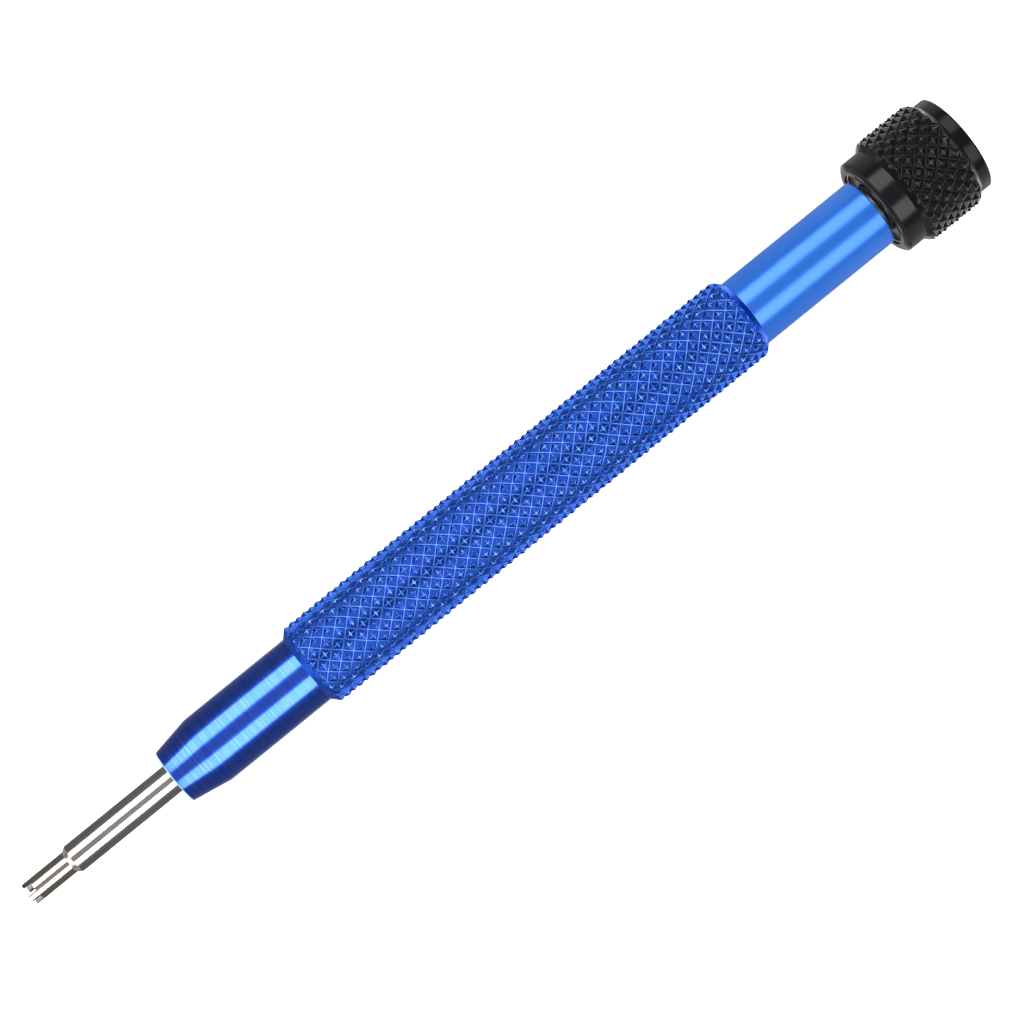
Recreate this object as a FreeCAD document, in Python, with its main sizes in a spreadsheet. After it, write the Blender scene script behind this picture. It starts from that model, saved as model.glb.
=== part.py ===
import FreeCAD, Part
import math
import os
import re
import Sketcher

# Watchmaker's screwdriver with a four-pronged tip and a ball-bearing swivel cap, in millimetres.
# The tool lies along +X, from the tip's end face at X = 0 to the top of the cap, and +Z is up.
# Every x below is a distance from the tip's end face along the tool's axis.

DRIVING_DIMENSIONS = {
    # Driver bit: a ground steel rod, stepped down to a tubular tip with four prongs.
    "tip_radius": 1.18,
    "tip_bore_radius": 0.75,
    "tip_bore_depth": 2.6,
    "prong_length": 0.91,
    "prong_gap": 1.10,
    "prong_clocking": -24.0,
    "neck_end": 4.83,
    "step_end": 5.31,
    "rod_radius": 1.5,
    "rod_end": 32.4,
    "rod_chamfer": 0.2,
    "sliding_clearance": 0.02,
    "bore_run_out": 0.3,
    # Depth of a twist drill's conical point as a share of its radius, and how far cutters run past a face.
    "drill_cone": 0.6,
    "overshoot": 1.0,
    # Handle: one turned aluminium bar with nose, grip, shank and bearing spigot.
    "nose_face": 17.4,
    "nose_face_radius": 2.9,
    "nose_edge": 0.12,
    "nose_cone_end": 21.43,
    "nose_radius": 3.63,
    "grip_start": 34.2,
    "grip_end": 86.15,
    "grip_radius": 4.457,
    "shank_radius": 3.63,
    "shank_end": 102.5,
    "shank_edge": 0.15,
    "spigot_end": 106.65,
    # Grub screw that clamps the bit, in the underside of the nose.
    "set_screw_at": 26.0,
    "set_screw_radius": 1.0,
    "set_screw_length": 1.9,
    "set_screw_socket": 0.9,
    "set_screw_socket_depth": 0.8,
    "set_screw_point": 0.25,
    "thread_clearance": 0.02,
    # Miniature ball bearing, 3.175 x 9.525 x 3.967.
    "bearing_start": 102.88,
    "bearing_width": 3.967,
    "bearing_bore_radius": 1.5875,
    "bearing_outer_radius": 4.7625,
    "bearing_edge": 0.18,
    "inner_land_radius": 2.6,
    "outer_land_radius": 3.75,
    "pitch_radius": 3.175,
    "ball_radius": 0.794,
    "ball_clearance": 0.02,
    "race_radius": 0.84,
    "cage_inner_radius": 2.82,
    "cage_outer_radius": 3.52,
    "cage_sheet": 0.14,
    "cage_clearance": 0.05,
    "shield_seat": 0.62,
    "shield_seat_radius": 4.24,
    "shield_lip_radius": 4.17,
    "shield_lip": 0.16,
    "shield_sheet": 0.15,
    "shield_inner_radius": 2.72,
    "shield_outer_radius": 4.22,
    "snap_wire_radius": 0.12,
    "snap_ring_radius": 4.1,
    "snap_ring_sweep": 325.0,
    # Screw, washer and shim that hold the bearing on the spigot.
    "shim_inner_radius": 1.65,
    "shim_outer_radius": 2.6,
    "washer_inner_radius": 0.9,
    "washer_outer_radius": 2.4,
    "washer_thickness": 0.3,
    "cap_screw_radius": 0.8,
    "cap_screw_lead": 0.15,
    "cap_screw_length": 6.0,
    "cap_screw_hole_length": 6.8,
    "cap_screw_head_radius": 1.6,
    "cap_screw_head_height": 1.3,
    "cap_screw_head_round": 0.4,
    "cap_screw_slot_width": 0.5,
    "cap_screw_slot_depth": 0.6,
    # Swivel cap, turned from aluminium bar.
    "cap_start": 102.98,
    "cap_mouth_edge_radius": 4.86,
    "cap_lower_ring_start": 103.25,
    "cap_ring_radius": 5.25,
    "cap_lower_ring_end": 105.1,
    "cap_knurl_start": 105.85,
    "cap_knurl_end": 111.25,
    "cap_radius": 6.0,
    "cap_upper_ring_start": 112.0,
    "cap_end": 113.26,
    "cap_end_edge": 0.15,
    "cap_cavity_radius": 4.15,
    "cap_cavity_end": 109.2,
    "cap_cavity_point": 0.9,
}

BALL_COUNT = 7
PRONG_COUNT = 4
TOLERANCE = 1e-6

document = FreeCAD.newDocument("watchmaker_screwdriver")
sheet = document.addObject("Spreadsheet::Sheet", "dims")
sub_parts = []


def fill_sheet():
    """Writes each driving dimension to a row: its name in column A and its number, aliased, in column B."""
    for row, (alias, number) in enumerate(DRIVING_DIMENSIONS.items(), start=1):
        sheet.set(f"A{row}", alias)
        sheet.set(f"B{row}", str(number))
        sheet.setAlias(f"B{row}", alias)
    document.recompute()


def bound(text):
    """An expression with the sheet's name in front of each alias, and function names left alone."""
    return re.sub(r"\b([a-z]\w*)\b(?!\()", r"dims.\1", text)


def value(text):
    """The number that an expression of aliases comes to."""
    return float(sheet.evalExpression(bound(text)))


def bind(item, **properties):
    """Ties properties of an object to expressions of the sheet's aliases."""
    for name, text in properties.items():
        item.setExpression(name, bound(text))


def keep(item, label):
    """Names a finished sub-part and puts it on the list of those to write."""
    item.Label = label
    sub_parts.append(item)
    return item


def origin_feature(body, role):
    """One of the body's own origin planes or axes, such as XY_Plane or X_Axis."""
    return next(feature for feature in body.Origin.OriginFeatures if feature.Role == role)


def new_sketch(body, name, plane="XZ_Plane"):
    """An empty sketch on one of the body's origin planes."""
    sketch = body.newObject("Sketcher::SketchObject", name)
    sketch.AttachmentSupport = [(origin_feature(body, plane), "")]
    sketch.MapMode = "FlatFace"
    return sketch


def place_point(sketch, geometry, vertex, x, y):
    """Fixes a sketch point by two expressions, or on an axis where a coordinate is zero."""
    for kind, axis, text in (("DistanceX", -2, x), ("DistanceY", -1, y)):
        if text == "0":
            sketch.addConstraint(Sketcher.Constraint("PointOnObject", geometry, vertex, axis))
            continue
        constraint = Sketcher.Constraint(kind, -1, 1, geometry, vertex, value(text))
        index = sketch.addConstraint(constraint)
        sketch.setExpression(f"Constraints[{index}]", bound(text))


def draw_outline(sketch, corners):
    """A closed outline of straight edges whose corners are pairs of expressions."""
    points = [FreeCAD.Vector(value(x), value(y), 0) for x, y in corners]
    count = len(points)
    for i in range(count):
        sketch.addGeometry(Part.LineSegment(points[i], points[(i + 1) % count]), False)
    for i in range(count):
        sketch.addConstraint(Sketcher.Constraint("Coincident", i, 2, (i + 1) % count, 1))
    for i, (x, y) in enumerate(corners):
        place_point(sketch, i, 1, x, y)


def draw_circle(sketch, x, y, radius):
    """A circle whose centre and radius are expressions."""
    centre = FreeCAD.Vector(value(x), value(y), 0)
    circle = Part.Circle(centre, FreeCAD.Vector(0, 0, 1), value(radius))
    sketch.addGeometry(circle, False)
    place_point(sketch, 0, 3, x, y)
    index = sketch.addConstraint(Sketcher.Constraint("Radius", 0, value(radius)))
    sketch.setExpression(f"Constraints[{index}]", bound(radius))


def revolve(body, name, sketch, feature="PartDesign::Revolution"):
    """Turns a sketch a full turn about the tool's axis, to add or, as a groove, to cut."""
    turned = body.newObject(feature, name)
    turned.Profile = sketch
    turned.ReferenceAxis = (sketch, ["H_Axis"])
    turned.Angle = 360
    sketch.Visibility = False
    document.recompute()
    return turned


def turned_body(name, corners):
    """A body whose first feature is an outline turned about the tool's axis."""
    body = document.addObject("PartDesign::Body", name)
    sketch = new_sketch(body, f"{name}_outline")
    draw_outline(sketch, corners)
    revolve(body, f"{name}_turning", sketch)
    return body


def cut_groove(body, name, sketch):
    """A turned cut, checked to have taken material away."""
    before = body.Shape.Volume
    groove = revolve(body, name, sketch, "PartDesign::Groove")
    require_cut(body, name, before)
    return groove


def cut_pocket(body, name, sketch, length, reverse=False):
    """A pocket of a bound depth, checked to have taken material away."""
    before = body.Shape.Volume
    pocket = body.newObject("PartDesign::Pocket", name)
    pocket.Profile = sketch
    pocket.Reversed = reverse
    bind(pocket, Length=length)
    sketch.Visibility = False
    document.recompute()
    require_cut(body, name, before)
    return pocket


def dress_edge(body, feature, name, edge, **sizes):
    """Chamfers or rounds one edge of the body's last feature."""
    before = body.Shape.Volume
    last_feature = body.Tip
    dressing = body.newObject(feature, name)
    dressing.Base = (last_feature, [edge])
    bind(dressing, **sizes)
    document.recompute()
    require_cut(body, name, before)
    return dressing


def require_cut(body, name, volume_before):
    """Stops the build if a cut left the body's volume as it was."""
    if body.Shape.Volume > volume_before - TOLERANCE:
        raise RuntimeError(f"{name} cuts nothing")


def ring(name, inner_radius, outer_radius, start, length):
    """A plain washer on the tool's axis, from primitives."""
    turn_to_axis = FreeCAD.Rotation(FreeCAD.Vector(0, 1, 0), 90)
    rims = []
    for side, radius in (("outside", outer_radius), ("inside", inner_radius)):
        rim = document.addObject("Part::Cylinder", f"{name}_{side}")
        bind(rim, Radius=radius, Height=length)
        rim.Placement = FreeCAD.Placement(FreeCAD.Vector(value(start), 0, 0), turn_to_axis)
        rims.append(rim)
    washer = document.addObject("Part::Cut", name)
    washer.Base, washer.Tool = rims
    return washer


def driver_bit():
    """The steel bit: rod, conical step and tubular tip, with four prongs left between four gaps."""
    body = turned_body("driver_bit", [
        ("0", "tip_bore_radius"),
        ("0", "tip_radius"),
        ("neck_end", "tip_radius"),
        ("step_end", "rod_radius"),
        ("rod_end - rod_chamfer", "rod_radius"),
        ("rod_end", "rod_radius - rod_chamfer"),
        ("rod_end", "0"),
        ("tip_bore_depth + tip_bore_radius * drill_cone", "0"),
        ("tip_bore_depth", "tip_bore_radius"),
    ])
    gap = new_sketch(body, "prong_gap_outline", "YZ_Plane")
    draw_outline(gap, [
        ("-prong_gap / 2", "0"),
        ("prong_gap / 2", "0"),
        ("prong_gap / 2", "tip_radius + overshoot"),
        ("-prong_gap / 2", "tip_radius + overshoot"),
    ])
    pocket = cut_pocket(body, "prong_gap_cut", gap, "prong_length", reverse=True)
    pattern = body.newObject("PartDesign::PolarPattern", "prong_gaps")
    pattern.Originals = [pocket]
    pattern.Axis = (origin_feature(body, "X_Axis"), [""])
    pattern.Angle = 360
    pattern.Occurrences = PRONG_COUNT
    body.Tip = pattern
    clocking = FreeCAD.Rotation(FreeCAD.Vector(1, 0, 0), value("prong_clocking"))
    body.Placement = FreeCAD.Placement(FreeCAD.Vector(0, 0, 0), clocking)
    return keep(body, "driver_bit")


def handle_body():
    """The aluminium handle. The knurled grip is its crest cylinder here."""
    shoulder = "(grip_radius - nose_radius)"
    body = turned_body("handle_body", [
        ("nose_face", "0"),
        ("nose_face", "nose_face_radius - nose_edge"),
        ("nose_face + nose_edge", "nose_face_radius"),
        ("nose_cone_end", "nose_radius"),
        (f"grip_start - {shoulder}", "nose_radius"),
        ("grip_start", "grip_radius"),
        ("grip_end", "grip_radius"),
        (f"grip_end + {shoulder}", "shank_radius"),
        ("shank_end - shank_edge", "shank_radius"),
        ("shank_end", "shank_radius - shank_edge"),
        ("shank_end", "bearing_bore_radius"),
        ("spigot_end - shank_edge", "bearing_bore_radius"),
        ("spigot_end", "bearing_bore_radius - shank_edge"),
        ("spigot_end", "0"),
    ])
    bore_radius = "(rod_radius + sliding_clearance)"
    bore = new_sketch(body, "bit_bore_outline")
    draw_outline(bore, [
        ("nose_face - overshoot", "0"),
        ("nose_face - overshoot", bore_radius),
        ("rod_end + bore_run_out", bore_radius),
        (f"rod_end + bore_run_out + {bore_radius} * drill_cone", "0"),
    ])
    cut_groove(body, "bit_bore", bore)
    tapped = new_sketch(body, "cap_screw_hole_outline")
    draw_outline(tapped, [
        ("spigot_end + overshoot", "0"),
        ("spigot_end + overshoot", "cap_screw_radius"),
        ("spigot_end - cap_screw_hole_length", "cap_screw_radius"),
        ("spigot_end - cap_screw_hole_length - cap_screw_radius * drill_cone", "0"),
    ])
    cut_groove(body, "cap_screw_hole", tapped)
    side_hole = new_sketch(body, "set_screw_hole_outline", "XY_Plane")
    draw_circle(side_hole, "set_screw_at", "0", "set_screw_radius + thread_clearance")
    cut_pocket(body, "set_screw_hole", side_hole, "nose_radius + overshoot")
    return keep(body, "handle_body")


def bit_set_screw():
    """A grub screw with a hexagon socket, point against the bit and socket outwards, below the nose."""
    body = document.addObject("PartDesign::Body", "bit_set_screw")
    disc = new_sketch(body, "set_screw_disc", "XY_Plane")
    draw_circle(disc, "0", "0", "set_screw_radius")
    blank = body.newObject("PartDesign::Pad", "set_screw_blank")
    blank.Profile = disc
    bind(blank, Length="set_screw_length")
    document.recompute()
    socket = new_sketch(body, "set_screw_socket_outline", "XY_Plane")
    across_corners = "set_screw_socket / sqrt(3)"
    half_flat = "set_screw_socket / 2"
    draw_outline(socket, [
        (across_corners, "0"),
        (f"{across_corners} / 2", half_flat),
        (f"-{across_corners} / 2", half_flat),
        (f"-{across_corners}", "0"),
        (f"-{across_corners} / 2", f"-{half_flat}"),
        (f"{across_corners} / 2", f"-{half_flat}"),
    ])
    cut_pocket(body, "set_screw_socket", socket, "set_screw_socket_depth", reverse=True)
    tip_edge = edge_at_height(body.Shape, value("set_screw_length"))
    dress_edge(body, "PartDesign::Chamfer", "set_screw_cone_point", tip_edge, Size="set_screw_point")
    point_height = -value("rod_radius + sliding_clearance")
    body.Placement = FreeCAD.Placement(
        FreeCAD.Vector(value("set_screw_at"), 0, point_height - value("set_screw_length")),
        FreeCAD.Rotation(),
    )
    return keep(body, "bit_set_screw")


def edge_at_height(shape, height):
    """The name of the circular edge that lies at a height."""
    for number, edge in enumerate(shape.Edges, start=1):
        box = edge.BoundBox
        if abs(box.ZMin - height) < TOLERANCE and box.ZLength < TOLERANCE:
            return f"Edge{number}"
    raise RuntimeError(f"no edge at height {height}")


def edge_at_distance(shape, distance, radius):
    """The name of the circular edge about the tool's axis at a distance along it."""
    for number, edge in enumerate(shape.Edges, start=1):
        box = edge.BoundBox
        offsets = (box.XMin - distance, box.XMax - distance, box.ZMax - radius)
        if all(abs(offset) < TOLERANCE for offset in offsets):
            return f"Edge{number}"
    raise RuntimeError(f"no edge at {distance}")


def bearing_ring(name, corners, race_centre):
    """A bearing ring with a race of circular section turned into it."""
    body = turned_body(name, corners)
    race = new_sketch(body, f"{name}_race_section")
    draw_circle(race, "bearing_start + bearing_width / 2", race_centre, "race_radius")
    cut_groove(body, f"{name}_race", race)
    return keep(body, name)


def bearing_inner_ring():
    """The ring on the spigot, clamped between the shim and the washer."""
    far_face = "bearing_start + bearing_width"
    return bearing_ring(
        "bearing_inner_ring",
        [
            ("bearing_start", "bearing_bore_radius"),
            ("bearing_start", "inner_land_radius"),
            (far_face, "inner_land_radius"),
            (far_face, "bearing_bore_radius"),
        ],
        "pitch_radius - ball_radius - ball_clearance + race_radius",
    )


def bearing_outer_ring():
    """The ring in the cap's mouth, with a stepped seat for a shield and its snap ring at each face."""
    near_face = "bearing_start"
    far_face = "bearing_start + bearing_width"
    return bearing_ring(
        "bearing_outer_ring",
        [
            (near_face, "shield_lip_radius"),
            (near_face, "bearing_outer_radius - bearing_edge"),
            (f"{near_face} + bearing_edge", "bearing_outer_radius"),
            (f"{far_face} - bearing_edge", "bearing_outer_radius"),
            (far_face, "bearing_outer_radius - bearing_edge"),
            (far_face, "shield_lip_radius"),
            (f"{far_face} - shield_lip", "shield_lip_radius"),
            (f"{far_face} - shield_lip", "shield_seat_radius"),
            (f"{far_face} - shield_seat", "shield_seat_radius"),
            (f"{far_face} - shield_seat", "outer_land_radius"),
            (f"{near_face} + shield_seat", "outer_land_radius"),
            (f"{near_face} + shield_seat", "shield_seat_radius"),
            (f"{near_face} + shield_lip", "shield_seat_radius"),
            (f"{near_face} + shield_lip", "shield_lip_radius"),
        ],
        "pitch_radius + ball_radius + ball_clearance - race_radius",
    )


def ball_place(number):
    """Where one ball sits: evenly spaced about the axis, the first at the top, poles along the axis."""
    turn = 360 * (number - 1) / BALL_COUNT
    angle = math.radians(turn)
    middle = value("bearing_start + bearing_width / 2")
    radius = value("pitch_radius")
    centre = FreeCAD.Vector(middle, radius * math.sin(angle), radius * math.cos(angle))
    about_axis = FreeCAD.Rotation(FreeCAD.Vector(1, 0, 0), -turn)
    poles_to_axis = FreeCAD.Rotation(FreeCAD.Vector(0, 1, 0), 90)
    return FreeCAD.Placement(centre, about_axis * poles_to_axis)


def bearing_balls():
    """Seven separate balls on the pitch circle."""
    for number in range(1, BALL_COUNT + 1):
        ball = document.addObject("Part::Sphere", f"bearing_ball_{number}")
        bind(ball, Radius="ball_radius")
        ball.Placement = ball_place(number)
        keep(ball, f"bearing_ball_{number}")


def sphere_group(name, radius):
    """Equal spheres about the ball centres, joined into one cutter or blank."""
    spheres = []
    for number in range(1, BALL_COUNT + 1):
        sphere = document.addObject("Part::Sphere", f"{name}_{number}")
        bind(sphere, Radius=radius)
        sphere.Placement = ball_place(number)
        spheres.append(sphere)
    group = document.addObject("Part::MultiFuse", name)
    group.Shapes = spheres
    return group


def cage_lower_half():
    """The tip-side half of the pressed ribbon cage: a flat ring with a cup over each ball."""
    middle = "(bearing_start + bearing_width / 2)"
    reach = "(ball_radius + cage_clearance + cage_sheet)"
    flat = ring(
        "cage_flat", "cage_inner_radius", "cage_outer_radius", f"{middle} - cage_sheet", "cage_sheet",
    )
    sleeve = ring("cage_sleeve", "cage_inner_radius", "cage_outer_radius", f"{middle} - {reach}", reach)
    cups = document.addObject("Part::Common", "cage_cups")
    cups.Base = sphere_group("cage_cup_blanks", reach)
    cups.Tool = sleeve
    ribbon = document.addObject("Part::Fuse", "cage_ribbon")
    ribbon.Base = flat
    ribbon.Tool = cups
    cage = document.addObject("Part::Cut", "bearing_cage_lower")
    cage.Base = ribbon
    cage.Tool = sphere_group("cage_ball_room", "ball_radius + cage_clearance")
    return keep(cage, "bearing_cage_lower")


def cage_upper_half(lower_half):
    """The cap-side half of the cage, the lower one mirrored in the balls' plane."""
    cage = document.addObject("Part::Mirroring", "bearing_cage_upper")
    cage.Source = lower_half
    cage.Normal = FreeCAD.Vector(1, 0, 0)
    cage.Base = FreeCAD.Vector(value("bearing_start + bearing_width / 2"), 0, 0)
    return keep(cage, "bearing_cage_upper")


def bearing_shield(label, seat_start):
    """A pressed sheet ring that closes the gap between the rings, with its inner edge just clear."""
    body = turned_body(label, [
        (seat_start, "shield_inner_radius"),
        (seat_start, "shield_outer_radius"),
        (f"{seat_start} + shield_sheet", "shield_outer_radius"),
        (f"{seat_start} + shield_sheet", "shield_inner_radius"),
    ])
    return keep(body, label)


def shield_snap_ring(label, centre):
    """An open wire ring that springs into the outer ring's lip and holds a shield."""
    wire = document.addObject("Part::Torus", label)
    bind(wire, Radius1="snap_ring_radius", Radius2="snap_wire_radius", Angle3="snap_ring_sweep")
    turn_to_axis = FreeCAD.Rotation(FreeCAD.Vector(0, 1, 0), 90)
    wire.Placement = FreeCAD.Placement(FreeCAD.Vector(value(centre), 0, 0), turn_to_axis)
    return keep(wire, label)


def bearing_closures():
    """A shield and a snap ring at each face of the bearing."""
    near_seat = "bearing_start + shield_seat - shield_sheet"
    far_seat = "bearing_start + bearing_width - shield_seat"
    bearing_shield("bearing_shield_lower", near_seat)
    bearing_shield("bearing_shield_upper", far_seat)
    shield_snap_ring("shield_snap_ring_lower", f"{near_seat} - snap_wire_radius")
    shield_snap_ring("shield_snap_ring_upper", f"{far_seat} + shield_sheet + snap_wire_radius")


def spigot_hardware():
    """The shim under the bearing, and the washer and slotted pan-head screw over it."""
    shim = ring(
        "shoulder_shim", "shim_inner_radius", "shim_outer_radius", "shank_end", "bearing_start - shank_end",
    )
    keep(shim, "shoulder_shim")
    seat = "bearing_start + bearing_width"
    washer = ring("spigot_washer", "washer_inner_radius", "washer_outer_radius", seat, "washer_thickness")
    keep(washer, "spigot_washer")
    spigot_screw(f"{seat} + washer_thickness")


def spigot_screw(under_head):
    """A slotted pan-head machine screw in the end of the spigot."""
    head_top = f"{under_head} + cap_screw_head_height"
    body = turned_body("spigot_screw", [
        (f"{under_head} - cap_screw_length", "0"),
        (f"{under_head} - cap_screw_length", "cap_screw_radius - cap_screw_lead"),
        (f"{under_head} - cap_screw_length + cap_screw_lead", "cap_screw_radius"),
        (under_head, "cap_screw_radius"),
        (under_head, "cap_screw_head_radius"),
        (head_top, "cap_screw_head_radius"),
        (head_top, "0"),
    ])
    rim = edge_at_distance(body.Shape, value(head_top), value("cap_screw_head_radius"))
    dress_edge(body, "PartDesign::Fillet", "cap_screw_head_rounding", rim, Radius="cap_screw_head_round")
    slot = new_sketch(body, "cap_screw_slot_outline", "YZ_Plane")
    slot.setExpression("AttachmentOffset.Base.z", bound(head_top))
    half_width = "cap_screw_slot_width / 2"
    half_length = "cap_screw_head_radius + overshoot"
    draw_outline(slot, [
        (f"-{half_width}", f"-({half_length})"),
        (half_width, f"-({half_length})"),
        (half_width, half_length),
        (f"-{half_width}", half_length),
    ])
    cut_pocket(body, "cap_screw_slot", slot, "cap_screw_slot_depth")
    return keep(body, "spigot_screw")


def swivel_cap():
    """The cap: a cup bored for the bearing. The knurled band is its crest cylinder here."""
    bearing_end = "bearing_start + bearing_width"
    body = turned_body("swivel_cap", [
        ("cap_start", "bearing_outer_radius"),
        ("cap_start", "cap_mouth_edge_radius"),
        ("cap_lower_ring_start", "cap_ring_radius"),
        ("cap_lower_ring_end", "cap_ring_radius"),
        ("cap_knurl_start", "cap_radius"),
        ("cap_knurl_end", "cap_radius"),
        ("cap_upper_ring_start", "cap_ring_radius"),
        ("cap_end - cap_end_edge", "cap_ring_radius"),
        ("cap_end", "cap_ring_radius - cap_end_edge"),
        ("cap_end", "0"),
        ("cap_cavity_end + cap_cavity_point", "0"),
        ("cap_cavity_end", "cap_cavity_radius"),
        (bearing_end, "cap_cavity_radius"),
        (bearing_end, "bearing_outer_radius"),
    ])
    return keep(body, "swivel_cap")


def check_document():
    """Stops the build if any object failed or any sub-part's shape isn't one sound solid."""
    for item in document.Objects:
        if {"Invalid", "Error"} & set(item.State):
            raise RuntimeError(f"{item.Name} failed: {item.State}")
    for item in sub_parts:
        shape = item.Shape
        if shape.isNull() or not shape.isValid() or len(shape.Solids) != 1:
            raise RuntimeError(f"{item.Label} isn't one valid solid")


def write_parts():
    """Writes each sub-part to a file named after its label."""
    os.makedirs("parts", exist_ok=True)
    for item in sub_parts:
        item.Shape.exportStep(f"parts/{item.Label}.step")


fill_sheet()
driver_bit()
handle_body()
bit_set_screw()
bearing_inner_ring()
bearing_outer_ring()
bearing_balls()
cage_upper_half(cage_lower_half())
bearing_closures()
spigot_hardware()
swivel_cap()
document.recompute()
check_document()
write_parts()
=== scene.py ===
import bmesh
import bpy
import math
from mathutils import Matrix, Vector


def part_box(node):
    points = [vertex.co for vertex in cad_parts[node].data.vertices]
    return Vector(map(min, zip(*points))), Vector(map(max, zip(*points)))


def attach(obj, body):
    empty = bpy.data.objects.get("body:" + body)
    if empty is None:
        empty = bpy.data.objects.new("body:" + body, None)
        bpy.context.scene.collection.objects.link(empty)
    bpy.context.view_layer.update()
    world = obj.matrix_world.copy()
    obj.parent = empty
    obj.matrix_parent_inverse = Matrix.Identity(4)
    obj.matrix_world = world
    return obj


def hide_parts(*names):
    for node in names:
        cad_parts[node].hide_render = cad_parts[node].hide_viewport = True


# Watchmaker's screwdriver: a knurled blue handle, a four-pronged steel bit and a black ball-bearing cap.
# The tool lies along +X with the tip at the origin. Sizes below are in millimetres unless they say otherwise.

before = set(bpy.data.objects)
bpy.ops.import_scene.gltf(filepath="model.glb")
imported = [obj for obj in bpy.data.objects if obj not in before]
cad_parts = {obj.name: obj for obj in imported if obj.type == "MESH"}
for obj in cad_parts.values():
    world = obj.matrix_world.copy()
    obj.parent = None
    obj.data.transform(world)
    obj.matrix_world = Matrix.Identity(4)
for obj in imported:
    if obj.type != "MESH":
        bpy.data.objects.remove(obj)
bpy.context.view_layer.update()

MM = 0.001
BALL_COUNT = 7
TIP = "driver_bit"
HANDLE = "handle_body"
CAP = "swivel_cap"


def along(node, side):
    """The lowest (0) or highest (1) x of a CAD node, in millimetres."""
    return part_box(node)[side].x / MM


def outer_radius(node):
    """The largest radius of a CAD node about the tool's axis, in millimetres."""
    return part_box(node)[1].z / MM


# Sizes of the shapes below, worked out from the CAD frame where it gives them.
NOSE_FACE = along(HANDLE, 0)
NOSE_FACE_RADIUS = 2.9
NOSE_CONE_END = 21.43
SPIGOT_END = along(HANDLE, 1)
GRIP_RADIUS = outer_radius(HANDLE)
ROD_END = along(TIP, 1)
ROD_RADIUS = outer_radius(TIP)
CAP_START = along(CAP, 0)
CAP_END = along(CAP, 1)
CAP_RADIUS = outer_radius(CAP)
RING_START = along("bearing_outer_ring", 0)
RING_END = along("bearing_outer_ring", 1)
RING_RADIUS = outer_radius("bearing_outer_ring")
SHANK_END = along("shoulder_shim", 0)
SMOOTH_RADIUS = 3.63
GRIP_START = 34.2
GRIP_END = 86.15
SHOULDER = GRIP_RADIUS - SMOOTH_RADIUS
CAP_BAND_START = 105.85
CAP_BAND_END = 111.25
SPIGOT_RADIUS = 1.5875
SPIGOT_HOLE_RADIUS = 0.8
SPIGOT_HOLE_DEPTH = 6.8
SPIGOT_HOLE_POINT = 7.3
BIT_BORE_RADIUS = 1.52
BALL_RADIUS = 0.794
BALL_PITCH_RADIUS = 3.175

# The diamond knurl: two families of V grooves, left and right hand, of one axial pitch. Its ridges
# across the tool are sharp, but for a share of its depth at the diamonds' tops. A small margin keeps
# the feet of its chamfers out of the band.
KNURL_PITCH = 1.52
KNURL_STEPS = 16
GRIP_STARTS = 18
GRIP_DEPTH = 0.36
CAP_STARTS = 24
CAP_DEPTH = 0.40
RIDGE_SHARE = 0.22
BAND_MARGIN = 0.01

# How rounded corners are made, and what counts as a corner or as a point on a ridge.
CORNER_STEPS = 4
GUARD = 0.02
SHARP_ANGLE = math.radians(30)
ON_RIDGE = 0.01

# Columns of points round the plain turned shapes, and steps across the ball race.
BIT_COLUMNS = 128
BEARING_COLUMNS = 160
RACE_STEPS = 16


# ---------------------------------------------------------------------------------------------
# Turned shapes
# ---------------------------------------------------------------------------------------------

def rounded(corners, closed=False):
    """Profile points (x, radius) from corners (x, radius, rounding), with an arc at each rounded corner.

    A guard point stands just outside each arc, so that the long faces beside it are shaded flat."""
    points = []
    count = len(corners)
    for i, (x, r, rounding) in enumerate(corners):
        here = Vector((x, r))
        if not rounding or (not closed and i in (0, count - 1)):
            points.append((x, r))
            continue
        back = Vector(corners[i - 1][:2]) - here
        ahead = Vector(corners[(i + 1) % count][:2]) - here
        room = min(back.length, ahead.length) * 0.45
        back.normalize()
        ahead.normalize()
        turn = math.pi - back.angle(ahead)
        reach = min(rounding * math.tan(turn / 2), room - GUARD)
        radius = reach / math.tan(turn / 2)
        centre = here + (back + ahead).normalized() * (radius / math.cos(turn / 2))
        first = here + back * reach - centre
        last = here + ahead * reach - centre
        points.append(tuple(here + back * (reach + GUARD)))
        for step in range(CORNER_STEPS + 1):
            share = step / CORNER_STEPS
            spoke = first.slerp(last, share) * radius
            points.append(tuple(centre + spoke))
        points.append(tuple(here + ahead * (reach + GUARD)))
    return points


def between(low, high, spacing):
    """Evenly spaced numbers strictly between two others, no further apart than a spacing."""
    count = max(1, math.ceil((high - low) / spacing))
    return [low + (high - low) * i / count for i in range(1, count)]


def groove_distance(phase):
    """How far a groove phase is from its nearest groove line, from 0 in the groove to 1 half-way."""
    return 2 * abs(phase - round(phase))


def knurl_height(x, angle, starts):
    """Height of the diamond knurl, 0 at its crests and -1 in its grooves, at x (in mm) and an angle."""
    along_axis = x / KNURL_PITCH
    around = starts * angle / (2 * math.pi)
    right_hand = groove_distance(along_axis + around)
    left_hand = groove_distance(along_axis - around)
    return min(right_hand, left_hand) - 1


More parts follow.
